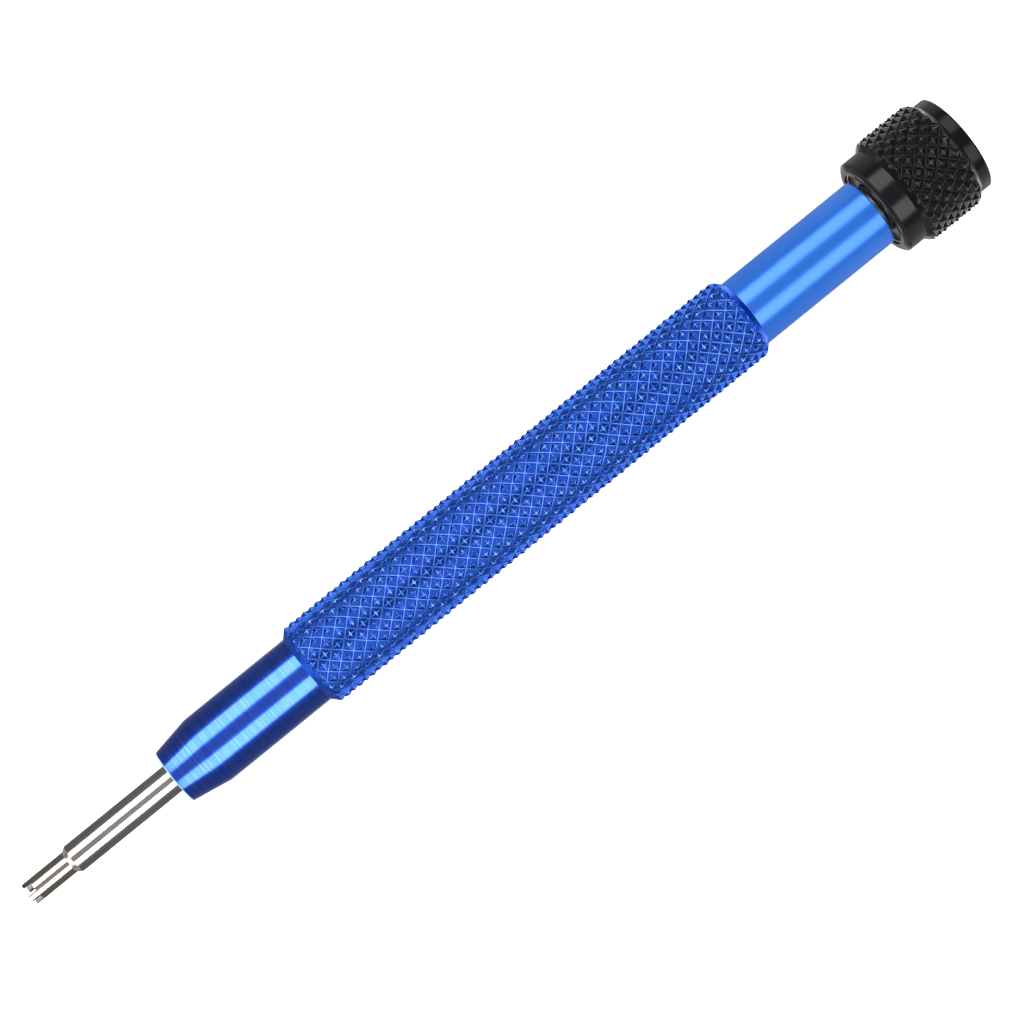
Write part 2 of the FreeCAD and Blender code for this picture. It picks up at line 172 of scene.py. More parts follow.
def knurled_rows(start, end, crest, end_radius, starts, depth):
    """Rows of a knurled band with a 45 degree chamfer at each end, from its foot to its foot.

    start and end are where the crest cylinder begins and ends. A row is (x, radii around)."""
    step = KNURL_PITCH / KNURL_STEPS
    columns = starts * KNURL_STEPS
    foot = crest - end_radius
    first = math.ceil((start - foot) / step + 1e-6)
    last = math.floor((end + foot) / step - 1e-6)
    rows = []
    for number in range(first, last + 1):
        x = number * step
        limit = min(crest, end_radius + (x - (start - foot)), end_radius + ((end + foot) - x))
        radii = []
        for column in range(columns):
            angle = 2 * math.pi * column / columns
            radii.append(min(limit, crest + depth * knurl_height(x, angle, starts)))
        rows.append((x, radii))
    return rows


def turned_mesh(name, rows, columns, closed=False, band=None):
    """A mesh turned about the tool's axis. A row is (x, radius) or (x, radii), in millimetres.

    A radius of zero makes a pole. closed joins the last row to the first, for a ring. band is a
    knurled band, as from knurled_band."""
    bm = bmesh.new()
    rings = []
    for x, radius in rows:
        if radius == 0:
            rings.append([bm.verts.new((x * MM, 0, 0))])
            continue
        ring = []
        for column in range(columns):
            angle = 2 * math.pi * column / columns
            r = radius[column] if isinstance(radius, list) else radius
            ring.append(bm.verts.new((x * MM, r * MM * math.sin(angle), r * MM * math.cos(angle))))
        rings.append(ring)
    pairs = list(zip(rings, rings[1:]))
    if closed:
        pairs.append((rings[-1], rings[0]))
    for number, (near, far) in enumerate(pairs):
        x, radii = rows[number]
        next_radii = rows[(number + 1) % len(rows)][1]
        both_knurled = isinstance(radii, list) and isinstance(next_radii, list)
        phase = round(x / KNURL_PITCH * KNURL_STEPS)
        for i in range(columns):
            j = (i + 1) % columns
            if len(near) == 1:
                bm.faces.new((near[0], far[j], far[i]))
            elif len(far) == 1:
                bm.faces.new((near[i], near[j], far[0]))
            elif both_knurled:
                split_face(bm, near[i], near[j], far[j], far[i], phase, i)
            else:
                bm.faces.new((near[i], near[j], far[j], far[i]))
    bmesh.ops.recalc_face_normals(bm, faces=bm.faces)
    return finished_mesh(name, bm, band)


def split_face(bm, a, b, c, d, phase, column):
    """Two triangles for one square of the knurl, with the shared edge along the groove direction there.

    a and b are on the near row, d and c beyond them. Grooves of one hand run from a to c and of the
    other from b to d; the edge follows whichever groove is nearer to the square."""
    steps = KNURL_STEPS
    middle_plus = (phase + column + 1) % steps
    middle_minus = (phase - column) % steps
    plus_distance = min(middle_plus, steps - middle_plus)
    minus_distance = min(middle_minus, steps - middle_minus)
    if plus_distance <= minus_distance:
        bm.faces.new((a, b, d))
        bm.faces.new((b, c, d))
    else:
        bm.faces.new((a, b, c))
        bm.faces.new((a, c, d))


def distance_from_axis(place):
    """How far a place in metres is from the tool's axis, in millimetres."""
    return math.hypot(place.y, place.z) / MM


def is_whole(number):
    """Whether a number is whole, but for rounding."""
    return abs(number - round(number)) < ON_RIDGE


def knurled_band(start, end, crest, end_radius, depth):
    """The (start, end, radius) of a knurled band with its chamfers.

    The ridges across the tool are sharp up to that radius."""
    foot = crest - end_radius
    return (start - foot + BAND_MARGIN, end + foot - BAND_MARGIN, crest - RIDGE_SHARE * depth)


def low_on_ridge(vertex, band):
    """Whether a point of a knurled band is on a ridge across the tool, clear of the diamond's top."""
    return is_whole(2 * vertex.co.x / MM / KNURL_PITCH) and distance_from_axis(vertex.co) < band[2]


def finished_mesh(name, bm, band=None):
    """A mesh from a bmesh, smooth but for its corners.

    A knurled band stays smooth but for the lower part of its ridges across the tool."""
    for face in bm.faces:
        face.smooth = True
    for edge in bm.edges:
        if band and all(band[0] < v.co.x / MM < band[1] for v in edge.verts):
            edge.smooth = not all(low_on_ridge(v, band) for v in edge.verts)
            continue
        if len(edge.link_faces) == 2 and edge.calc_face_angle(0) > SHARP_ANGLE:
            edge.smooth = False
    return mesh_from(name, bm)


def mesh_from(name, bm):
    """A mesh from a bmesh, which is freed."""
    mesh = bpy.data.meshes.new(name)
    bm.to_mesh(mesh)
    bm.free()
    return mesh


def add_piece(name, mesh, body, materials, replaced):
    """Puts a mesh in the scene as a piece that rides on a body and stands for some CAD nodes."""
    piece = bpy.data.objects.new(name, mesh)
    bpy.context.scene.collection.objects.link(piece)
    for material in materials:
        mesh.materials.append(material)
    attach(piece, body)
    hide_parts(*replaced)


def cut_away(mesh, cutter_mesh):
    """The mesh with another closed mesh cut out of it."""
    scene = bpy.context.scene
    base = bpy.data.objects.new("cut_base", mesh)
    cutter = bpy.data.objects.new("cut_tool", cutter_mesh)
    scene.collection.objects.link(base)
    scene.collection.objects.link(cutter)
    modifier = base.modifiers.new("cut", "BOOLEAN")
    modifier.operation = "DIFFERENCE"
    modifier.solver = "EXACT"
    modifier.object = cutter
    bpy.context.view_layer.update()
    result = bpy.data.meshes.new_from_object(base.evaluated_get(bpy.context.evaluated_depsgraph_get()))
    result.name = mesh.name
    bpy.data.objects.remove(base)
    bpy.data.objects.remove(cutter)
    bpy.data.meshes.remove(cutter_mesh)
    return result


def resharpened(mesh, band=None):
    """The mesh with its corners marked again, after a cut."""
    bm = bmesh.new()
    bm.from_mesh(mesh)
    name = mesh.name
    bpy.data.meshes.remove(mesh)
    return finished_mesh(name, bm, band)


# ---------------------------------------------------------------------------------------------
# Materials
# ---------------------------------------------------------------------------------------------

class Shader:
    """A node material with one Principled shader, and short ways to add nodes to it."""

    def __init__(self, name):
        self.material = bpy.data.materials.new(name)
        self.material.use_nodes = True
        self.tree = self.material.node_tree
        self.tree.nodes.clear()
        self.shader = self.tree.nodes.new("ShaderNodeBsdfPrincipled")
        output = self.tree.nodes.new("ShaderNodeOutputMaterial")
        self.tree.links.new(self.shader.outputs["BSDF"], output.inputs["Surface"])
        self.place = self.tree.nodes.new("ShaderNodeTexCoord").outputs["Object"]

    def set(self, **sockets):
        """Sets or links the shader's own sockets; an underscore stands for a space."""
        for key, value in sockets.items():
            self.fill(self.shader.inputs[key.replace("_", " ")], value)

    def fill(self, socket, value):
        """Links a socket to an output, or gives it a value."""
        if isinstance(value, bpy.types.NodeSocket):
            self.tree.links.new(value, socket)
        else:
            socket.default_value = value

    def stretched(self, scale):
        """The place on the object, in metres, scaled along each axis."""
        mapping = self.tree.nodes.new("ShaderNodeMapping")
        self.fill(mapping.inputs["Vector"], self.place)
        mapping.inputs["Scale"].default_value = scale
        return mapping.outputs["Vector"]

    def noise(self, scale, detail, roughness=0.5):
        """Noise over the object, with its own scale along each axis, per metre."""
        texture = self.tree.nodes.new("ShaderNodeTexNoise")
        self.fill(texture.inputs["Vector"], self.stretched(scale))
        texture.inputs["Scale"].default_value = 1.0
        texture.inputs["Detail"].default_value = detail
        texture.inputs["Roughness"].default_value = roughness
        return texture.outputs["Fac"]

    def along_tool(self):
        """The x of the place on the object, in metres."""
        apart = self.tree.nodes.new("ShaderNodeSeparateXYZ")
        self.fill(apart.inputs["Vector"], self.place)
        return apart.outputs["X"]

    def attribute(self, name):
        """A number stored on the mesh's points."""
        attribute = self.tree.nodes.new("ShaderNodeAttribute")
        attribute.attribute_name = name
        return attribute.outputs["Fac"]

    def spread(self, value, low, high, new_low, new_high):
        """A number moved from one range to another and kept inside it."""
        node = self.tree.nodes.new("ShaderNodeMapRange")
        for socket, number in zip(("Value", "From Min", "From Max", "To Min", "To Max"),
                                  (value, low, high, new_low, new_high)):
            self.fill(node.inputs[socket], number)
        return node.outputs["Result"]

    def maths(self, operation, first, second):
        """One sum of two numbers."""
        node = self.tree.nodes.new("ShaderNodeMath")
        node.operation = operation
        self.fill(node.inputs[0], first)
        self.fill(node.inputs[1], second)
        return node.outputs[0]

    def mixed(self, factor, first, second):
        """A colour between two colours."""
        node = self.tree.nodes.new("ShaderNodeMix")
        node.data_type = "RGBA"
        self.fill(node.inputs["Factor"], factor)
        self.fill(node.inputs["A"], first)
        self.fill(node.inputs["B"], second)
        return node.outputs["Result"]

    def bump(self, height, depth, normal=None):
        """A bumped normal. depth is the real height of the bump, in metres."""
        node = self.tree.nodes.new("ShaderNodeBump")
        node.inputs["Strength"].default_value = 1.0
        node.inputs["Distance"].default_value = depth
        self.fill(node.inputs["Height"], height)
        if normal is not None:
            self.fill(node.inputs["Normal"], normal)
        return node.outputs["Normal"]


def rgba(red, green, blue):
    """A solid colour, as a socket takes it."""
    return (red, green, blue, 1.0)


def blue_anodised(name, dye, deep_dye, pale_dye, metal, coat, roughness, ring_share, ring_depth):
    """Turned and blue-anodised aluminium: dye that varies a little, lathe rings, and fine pitting."""
    m = Shader(name)
    clouds = m.noise((260, 260, 260), detail=4)
    rings = m.noise((7600, 30, 30), detail=4, roughness=0.7)
    wide_rings = m.noise((1500, 16, 16), detail=2)
    pits = m.noise((9000, 9000, 9000), detail=2)
    tint = m.spread(m.maths("ADD", clouds, m.maths("MULTIPLY", wide_rings, ring_share)), 0.45, 1.05, 0.0, 1.0)
    pale_rings = m.spread(rings, 0.50, 0.66, 0.0, ring_share)
    m.set(
        Base_Color=m.mixed(pale_rings, m.mixed(tint, deep_dye, dye), pale_dye),
        Metallic=metal,
        Roughness=m.spread(rings, 0.35, 0.65, roughness * (1 - 0.3 * ring_share),
                           roughness * (1 + 0.45 * ring_share)),
        Coat_Weight=m.spread(rings, 0.3, 0.7, coat * (1 - 0.35 * ring_share), coat * (1 + 0.35 * ring_share)),
        Coat_Roughness=roughness * 0.8,
        Coat_IOR=1.6,
        Normal=m.bump(pits, 4e-7, m.bump(rings, ring_depth)),
    )
    return m.material


def knurl_wear_and_glint(m, patches, least):
    """How pale the ridges of a knurled band are, partly from wear and partly as painted glints, from least to
    1: most at the tops of its diamonds.
    """
    ridge = m.spread(m.attribute("ridge"), 0.25, 0.75, 0.0, 1.0)
    high = m.spread(m.attribute("knurl"), 0.35, 0.75, 0.0, 1.0)
    return m.maths("MULTIPLY", m.maths("MULTIPLY", ridge, high), m.spread(patches, 0.40, 0.64, least, 1.0))


def blue_knurl(name, dye, deep_dye, groove_highlight_dye, worn_glint_dye):
    """The knurled grip: the same dye, paler on the diamonds' ridges, partly from wear and partly as painted
    glints, and lighter in the rolled grooves as a painted highlight.
    """
    m = Shader(name)
    clouds = m.noise((300, 300, 300), detail=4)
    patches = m.noise((1400, 1400, 1400), detail=3)
    grit = m.noise((6000, 6000, 6000), detail=3)
    # Painted glints, partly wear: the ridges near the diamonds' tops turn paler and less metallic.
    wear_and_glint = knurl_wear_and_glint(m, patches, 0.0)
    # Painted highlight: the groove bottoms are painted paler, for the bright lines they show.
    groove = m.spread(m.attribute("knurl"), 0.0, 0.20, 0.42, 0.0)
    plain = m.mixed(groove, m.mixed(clouds, deep_dye, dye), groove_highlight_dye)
    m.set(
        Base_Color=m.mixed(wear_and_glint, plain, worn_glint_dye),
        Metallic=m.spread(wear_and_glint, 0.0, 1.0, 0.85, 0.45),
        Specular_Tint=rgba(0.35, 0.55, 0.90),
        Roughness=m.spread(grit, 0.3, 0.7, 0.20, 0.28),
        Coat_Weight=0.17,
        Coat_Roughness=0.14,
        Coat_IOR=1.6,
        Normal=m.bump(grit, 1.2e-6),
    )
    return m.material


def black_anodised(name, roughness, ring_depth, sheen, shine=0.26, knurled=False):
    """Black-anodised aluminium, with lathe rings, or, on its knurl, grey on the crests: partly wear and
    partly painted glints.
    """
    m = Shader(name)
    clouds = m.noise((320, 320, 320), detail=4)
    rings = m.noise((5200, 30, 30), detail=4, roughness=0.7)
    grit = m.noise((8000, 8000, 8000), detail=3)
    dye = m.mixed(clouds, rgba(0.0018, 0.0018, 0.0026), rgba(0.0036, 0.0036, 0.0050))
    if knurled:
        patches = m.noise((1400, 1400, 1400), detail=3)
        # Grey on the ridges near the diamonds' tops: partly wear, partly painted glints.
        dye = m.mixed(knurl_wear_and_glint(m, patches, -0.25), dye, rgba(0.040, 0.040, 0.043))
        shine = m.spread(m.attribute("knurl"), 0.0, 0.2, 0.10, 0.24)
    m.set(
        Base_Color=dye,
        Metallic=0.0,
        Specular_IOR_Level=shine,
        Roughness=m.spread(rings if not knurled else grit, 0.3, 0.7, roughness - 0.02, roughness + 0.04),
        Sheen_Weight=sheen,
        Sheen_Roughness=0.35,
        Normal=m.bump(grit, 5e-7, m.bump(rings, ring_depth)),
    )
    return m.material


def steel(name, colour, shade, roughness, rings_per_metre, ring_depth, stain=None, straw=None):
    """Steel with grinding or turning rings, a little uneven in colour and polish.

    straw is (colour, start, end): a temper colour that fades out from start to end along the tool."""
    m = Shader(name)
    clouds = m.noise((400, 400, 400), detail=4)
    rings = m.noise((rings_per_metre, 60, 60), detail=4, roughness=0.7)
    spots = m.noise((2600, 2600, 2600), detail=5, roughness=0.65)
    metal = m.mixed(m.spread(clouds, 0.35, 0.65, 0.0, 1.0), colour, shade)
    if stain:
        metal = m.mixed(m.spread(spots, 0.56, 0.72, 0.0, 0.5), metal, stain)
    if straw:
        metal = m.mixed(m.spread(m.along_tool(), straw[1], straw[2], 0.8, 0.0), metal, straw[0])
    m.set(
        Base_Color=metal,
        Metallic=1.0,
        Roughness=m.spread(m.maths("ADD", rings, m.maths("MULTIPLY", spots, 0.4)), 0.45, 0.95,
                           roughness * 0.96, roughness * 1.08),
        Normal=m.bump(spots, 0.5e-7, m.bump(rings, ring_depth)),
    )
    return m.material


NOSE_BLUE = blue_anodised(
    "nose_blue", rgba(0.010, 0.112, 0.860), rgba(0.007, 0.094, 0.780), rgba(0.085, 0.185, 0.900),
    metal=1.0, coat=0.75, roughness=0.17, ring_share=0.8, ring_depth=1.2e-6)
SHANK_BLUE = blue_anodised(
    "shank_blue", rgba(0.019, 0.152, 0.650), rgba(0.017, 0.142, 0.610), rgba(0.023, 0.160, 0.660),
    metal=0.44, coat=0.10, roughness=0.25, ring_share=0.1, ring_depth=0.08e-6)
# The paler blue of the nose face's rounded rim is a painted highlight: a pale line along the rim's edge.
EDGE_HIGHLIGHT_BLUE = blue_anodised(
    "edge_highlight_blue", rgba(0.240, 0.440, 0.920), rgba(0.170, 0.360, 0.880), rgba(0.460, 0.640, 0.940),
    metal=0.4, coat=0.65, roughness=0.20, ring_share=0.8, ring_depth=0.8e-6)
# The knurl's groove colour is a painted highlight; its worn colour is partly wear and partly painted glints.
KNURL_BLUE = blue_knurl(
    "knurl_blue", rgba(0.005, 0.074, 0.480), rgba(0.002, 0.044, 0.340),
    groove_highlight_dye=rgba(0.16, 0.30, 0.68), worn_glint_dye=rgba(0.19, 0.34, 0.82))
CAP_BLACK = black_anodised("cap_black", roughness=0.19, ring_depth=0.3e-6, sheen=0.02, shine=0.17)
GLOSS_BLACK = black_anodised("gloss_black", roughness=0.18, ring_depth=0.1e-6, sheen=0.02)
KNURL_BLACK = black_anodised("knurl_black", roughness=0.15, ring_depth=0.3e-6, sheen=0.03, knurled=True)
TIP_STEEL = steel(
    "tip_steel", rgba(0.56, 0.545, 0.53), rgba(0.48, 0.465, 0.45),
    roughness=0.14, rings_per_metre=7000, ring_depth=0.12e-6,
    stain=rgba(0.36, 0.31, 0.24), straw=(rgba(0.46, 0.42, 0.36), 0.0045, 0.0075))
RING_STEEL = steel(
    "ring_steel", rgba(0.72, 0.72, 0.72), rgba(0.62, 0.62, 0.63),
    roughness=0.12, rings_per_metre=12000, ring_depth=0.3e-6)
MILLED_STEEL = steel(
    "milled_steel", rgba(0.26, 0.24, 0.22), rgba(0.14, 0.13, 0.12),
    roughness=0.36, rings_per_metre=5200, ring_depth=1.0e-6, stain=rgba(0.10, 0.08, 0.06))
# Steel of the outer ring's flat faces, painted near black: painted shade inside the cap's mouth.
SHADED_FACE_STEEL = steel(
    "shaded_face_steel", rgba(0.07, 0.062, 0.056), rgba(0.04, 0.036, 0.033),
    roughness=0.30, rings_per_metre=9000, ring_depth=0.6e-6)
# Steel of the outer ring's rounded edges, painted dark brown: painted shade inside the cap's mouth.
SHADED_BEVEL_STEEL = steel(
    "shaded_bevel_steel", rgba(0.17, 0.13, 0.10), rgba(0.11, 0.08, 0.06),
    roughness=0.14, rings_per_metre=12000, ring_depth=0.3e-6)
BALL_STEEL = steel(
    "ball_steel", rgba(0.76, 0.76, 0.76), rgba(0.70, 0.70, 0.71),
    roughness=0.06, rings_per_metre=300, ring_depth=0.05e-6)
# Pressed steel of the shields and cages, painted near black: painted shade deep in the cap's mouth.
SHADED_SHEET_STEEL = steel(
    "shaded_sheet_steel", rgba(0.09, 0.08, 0.07), rgba(0.05, 0.045, 0.04),
    roughness=0.26, rings_per_metre=900, ring_depth=0.5e-6)
WIRE_STEEL = steel(
    "wire_steel", rgba(0.74, 0.72, 0.70), rgba(0.62, 0.60, 0.58),
    roughness=0.20, rings_per_metre=2500, ring_depth=0.4e-6)
SCREW_STEEL = steel(
    "screw_steel", rgba(0.60, 0.60, 0.58), rgba(0.50, 0.50, 0.48),
    roughness=0.25, rings_per_metre=4000, ring_depth=0.8e-6)
OXIDE_STEEL = steel(
    "oxide_steel", rgba(0.045, 0.045, 0.05), rgba(0.03, 0.03, 0.035),
    roughness=0.32, rings_per_metre=3000, ring_depth=0.9e-6, stain=rgba(0.12, 0.08, 0.05))


# ---------------------------------------------------------------------------------------------
# Pieces
# ---------------------------------------------------------------------------------------------

def store_knurl(mesh, start, end, crest, depth, starts):
    """Keeps, for the material, each point's height in the knurl and whether it is on a diamond's ridge.

    The height goes from 0 in the grooves to 1 at the diamonds' tops, and is half-way off the band."""
    heights = mesh.attributes.new("knurl", "FLOAT", "POINT")
    ridges = mesh.attributes.new("ridge", "FLOAT", "POINT")
    for vertex, height, ridge in zip(mesh.vertices, heights.data, ridges.data):
        x = vertex.co.x / MM
        height.value = 0.5
        if not start <= x <= end:
            continue
        height.value = max(0.0, min(1.0, 1 - (crest - distance_from_axis(vertex.co)) / depth))
        across_tool = is_whole(2 * x / KNURL_PITCH)
        along_tool = is_whole(starts * math.atan2(vertex.co.y, vertex.co.z) / math.pi)
        ridge.value = 1.0 if across_tool or along_tool else 0.0


def assign_by_band(mesh, band):
    """Gives faces before a knurled band material 0, those in it 1 and those after it 2."""
    for polygon in mesh.polygons:
        x = polygon.center.x / MM
        polygon.material_index = (x >= band[0]) + (x >= band[1])


def make_handle():
    """Nose, knurled grip, shank and spigot in one closed mesh, with the bit's bore and both screw holes."""
    screw_at = (along("bit_set_screw", 0) + along("bit_set_screw", 1)) / 2
    screw_radius = (along("bit_set_screw", 1) - along("bit_set_screw", 0)) / 2
    bore_end = ROD_END + 0.3
    bore_point = ROD_END + 1.2
    nose = rounded([
        (bore_point, 0, 0),
        (bore_end, BIT_BORE_RADIUS, 0.1),
        (NOSE_FACE, BIT_BORE_RADIUS, 0.08),
        (NOSE_FACE, NOSE_FACE_RADIUS, 0.14),
        (NOSE_CONE_END, SMOOTH_RADIUS, 0),
        (GRIP_START - SHOULDER, SMOOTH_RADIUS, 0),
    ])
    cylinder_start = nose.index((NOSE_CONE_END, SMOOTH_RADIUS)) + 1
    reach = 1.6
    near_hole = between(screw_at - reach, screw_at + reach, 0.2)
    nose[cylinder_start:cylinder_start] = [(x, SMOOTH_RADIUS) for x in near_hole]
    grip = knurled_rows(GRIP_START, GRIP_END, GRIP_RADIUS, SMOOTH_RADIUS, GRIP_STARTS, GRIP_DEPTH)
    shank = rounded([
        (GRIP_END + SHOULDER, SMOOTH_RADIUS, 0),
        (SHANK_END, SMOOTH_RADIUS, 0.15),
        (SHANK_END, SPIGOT_RADIUS, 0),
        (SPIGOT_END, SPIGOT_RADIUS, 0.15),
        (SPIGOT_END, SPIGOT_HOLE_RADIUS, 0.05),
        (SPIGOT_END - SPIGOT_HOLE_DEPTH, SPIGOT_HOLE_RADIUS, 0),
        (SPIGOT_END - SPIGOT_HOLE_POINT, 0, 0),
    ])
    band = knurled_band(GRIP_START, GRIP_END, GRIP_RADIUS, SMOOTH_RADIUS, GRIP_DEPTH)
    mesh = turned_mesh("handle", nose + grip + shank, GRIP_STARTS * KNURL_STEPS, band=band)
    clearance = 0.02
    overshoot = 0.4
    hole = drill_mesh(screw_at, screw_radius + clearance, -(SMOOTH_RADIUS + overshoot), -overshoot)
    mesh = resharpened(cut_away(mesh, hole), band)
    store_knurl(mesh, GRIP_START, GRIP_END, GRIP_RADIUS, GRIP_DEPTH, GRIP_STARTS)
    blues = (NOSE_BLUE, KNURL_BLUE, SHANK_BLUE, EDGE_HIGHLIGHT_BLUE)
    add_piece("handle", mesh, "handle", blues, (HANDLE,))
    assign_by_band(mesh, band)
    rim_end = NOSE_FACE + 0.13
    rim_start_radius = NOSE_FACE_RADIUS - 0.3
    # The rounded rim round the nose face takes the paler blue, a painted highlight along its edge.
    for polygon in mesh.polygons:
        by_face = polygon.center.x / MM < rim_end
        outward = distance_from_axis(polygon.center) > rim_start_radius
        if by_face and outward and 0.1 < -polygon.normal.x < 0.97:
            polygon.material_index = blues.index(EDGE_HIGHLIGHT_BLUE)


def drill_mesh(x, radius, low, high):
    """An upright closed cylinder, for drilling across the tool's axis."""
    bm = bmesh.new()
    height = (high - low) * MM
    place = Matrix.Translation((x * MM, 0, (low + high) / 2 * MM))
    bmesh.ops.create_cone(bm, cap_ends=True, segments=64, radius1=radius * MM, radius2=radius * MM,
                          depth=height, matrix=place)
    return mesh_from("drill", bm)


def make_bit():
    """The steel bit: rod, conical step and tube, with two crossed slots that leave four prongs."""
    tip_radius = 1.18
    bore_radius = 0.75
    bore_depth = 2.6
    bore_point = 0.45
    step_start = 4.83
    step_end = 5.31
    prong_length = 0.91
    prong_gap = 1.10
    cutter_height = 4
    clocking = math.radians(24.0)
    rows = rounded([
        (bore_depth + bore_point, 0, 0),
        (bore_depth, bore_radius, 0),
        (0, bore_radius, 0.03),
        (0, tip_radius, 0.04),
        (step_start, tip_radius, 0.04),
        (step_end, ROD_RADIUS, 0.04),
        (ROD_END, ROD_RADIUS, 0.2),
        (ROD_END, 0, 0),
    ])
    mesh = turned_mesh("bit", rows, BIT_COLUMNS)
    for turn in (0, math.pi / 2):
        bm = bmesh.new()
        slot = Matrix.Rotation(turn - clocking, 4, "X") @ Matrix.Diagonal(
            (2 * prong_length * MM, prong_gap * MM, cutter_height * MM, 1))
        bmesh.ops.create_cube(bm, size=1.0, matrix=slot)
        mesh = cut_away(mesh, mesh_from("slot", bm))
    mesh = resharpened(mesh)
    steels = (TIP_STEEL, MILLED_STEEL)
    for polygon in mesh.polygons:
        outward = Vector((0, polygon.center.y, polygon.center.z)).normalized().dot(polygon.normal)
        if polygon.center.x < (bore_depth + 0.5) * MM and outward < 0.9:
            polygon.material_index = steels.index(MILLED_STEEL)
    add_piece("bit", mesh, "bit", steels, (TIP,))


def make_cap():
    """The black cap: smooth lower ring, flare, knurled band, chamfer and smooth top ring, bored inside."""
    ring_radius = 5.25
    ring_start = 103.25
    mouth_radius = 4.86
    flare = CAP_RADIUS - ring_radius
    cavity_radius = 4.15
    cavity_end = 109.2
    cavity_point = 0.9
    inside = rounded([
        (cavity_end + cavity_point, 0, 0),
        (cavity_end, cavity_radius, 0.2),
        (RING_END, cavity_radius, 0.05),
        (RING_END, RING_RADIUS, 0.05),
        (CAP_START, RING_RADIUS, 0.03),
        (CAP_START, mouth_radius, 0.04),
        (ring_start, ring_radius, 0.06),
        (CAP_BAND_START - flare, ring_radius, 0.05),
    ])
    knurl = knurled_rows(CAP_BAND_START, CAP_BAND_END, CAP_RADIUS, ring_radius, CAP_STARTS, CAP_DEPTH)
    top = rounded([
        (CAP_BAND_END + flare, ring_radius, 0),
        (CAP_END, ring_radius, 0.18),
        (CAP_END, 0, 0),
    ])
    band = knurled_band(CAP_BAND_START, CAP_BAND_END, CAP_RADIUS, ring_radius, CAP_DEPTH)
    mesh = turned_mesh("cap", inside + knurl + top, CAP_STARTS * KNURL_STEPS, band=band)
    store_knurl(mesh, CAP_BAND_START, CAP_BAND_END, CAP_RADIUS, CAP_DEPTH, CAP_STARTS)
    add_piece("cap", mesh, "cap", (GLOSS_BLACK, KNURL_BLACK, CAP_BLACK), (CAP,))
    assign_by_band(mesh, band)


def make_outer_ring():
    """The bearing's outer ring: ground faces with rounded edges, a stepped seat at each and a ball race."""
    lip = 0.16
    seat = 0.62
    lip_radius = 4.17
    seat_radius = 4.24
    land_radius = 3.75
    rows = rounded([
        (RING_START, lip_radius, 0.03),
        (RING_START, RING_RADIUS, 0.18),
        (RING_END, RING_RADIUS, 0.18),
        (RING_END, lip_radius, 0.03),
        (RING_END - lip, lip_radius, 0.02),
        (RING_END - lip, seat_radius, 0),
        (RING_END - seat, seat_radius, 0),
        (RING_END - seat, land_radius, 0.03),
    ])
    middle = (RING_START + RING_END) / 2
    race_radius = 0.84
    play = 0.02
    race_centre = BALL_PITCH_RADIUS + BALL_RADIUS + play - race_radius
    half_width = math.sqrt(race_radius ** 2 - (land_radius - race_centre) ** 2)
    edge = math.atan2(half_width, land_radius - race_centre)
    for step in range(RACE_STEPS + 1):
        angle = edge - 2 * edge * step / RACE_STEPS
        rows.append((middle + race_radius * math.sin(angle), race_centre + race_radius * math.cos(angle)))
    rows += rounded([
        (RING_START + seat, land_radius, 0.03),
        (RING_START + seat, seat_radius, 0),
        (RING_START + lip, seat_radius, 0),
        (RING_START + lip, lip_radius, 0.02),
    ])
    mesh = turned_mesh("outer_ring", rows, BEARING_COLUMNS, closed=True)
    # Both of the ring's steels are painted dark, as painted shade inside the cap's mouth; the flat faces
    # darkest.
    steels = (SHADED_BEVEL_STEEL, SHADED_FACE_STEEL)
    for polygon in mesh.polygons:
        if abs(polygon.normal.x) > 0.97:
            polygon.material_index = steels.index(SHADED_FACE_STEEL)
    add_piece("outer_ring", mesh, "cap", steels, ("bearing_outer_ring",))


def make_shields():
    """The two pressed shields, each with a shallow step inside its rim."""
    inner = 2.72
    rim = 0.34
    slope = 0.1
    dish = 0.05
    for node, sign in (("bearing_shield_lower", 1), ("bearing_shield_upper", -1)):
        face = along(node, 0) if sign > 0 else along(node, 1)
        sheet = along(node, 1) - along(node, 0)
        outer = outer_radius(node)
        step = outer - rim
        rows = rounded([
            (face, outer, 0.04),
            (face, step, 0.04),
            (face + sign * dish, step - slope, 0.04),
            (face + sign * dish, inner, 0.02),
            (face + sign * sheet, inner, 0.02),
            (face + sign * sheet, outer, 0.04),
        ], closed=True)
        mesh = turned_mesh(node + "_pressed", rows, BEARING_COLUMNS, closed=True)
        # The shields' steel is painted near black, a painted shade.
        add_piece(node + "_pressed", mesh, "cap", (SHADED_SHEET_STEEL,), (node,))


def make_snap_rings():
    """The two open wire rings that hold the shields, with a gap between their flat ends."""
    wire = 0.12
    sweep = math.radians(325)
    around = 140
    section = 14
    for node in ("shield_snap_ring_lower", "shield_snap_ring_upper"):
        middle = (along(node, 0) + along(node, 1)) / 2
        bend = outer_radius(node) - wire
        bm = bmesh.new()
        rings = []
        for i in range(around + 1):
            turn = sweep * i / around
            ring = []
            for k in range(section):
                phase = 2 * math.pi * k / section
                radius = bend + wire * math.cos(phase)
                ring.append(bm.verts.new((
                    (middle + wire * math.sin(phase)) * MM,
                    radius * MM * math.sin(turn),
                    radius * MM * math.cos(turn),
                )))
            rings.append(ring)
        for near, far in zip(rings, rings[1:]):
            for k in range(section):
                m = (k + 1) % section
                bm.faces.new((near[k], near[m], far[m], far[k]))
        bm.faces.new(rings[0])
        bm.faces.new(rings[-1])
        bmesh.ops.recalc_face_normals(bm, faces=bm.faces)
        mesh = finished_mesh(node + "_wire", bm)
        add_piece(node + "_wire", mesh, "cap", (WIRE_STEEL,), (node,))


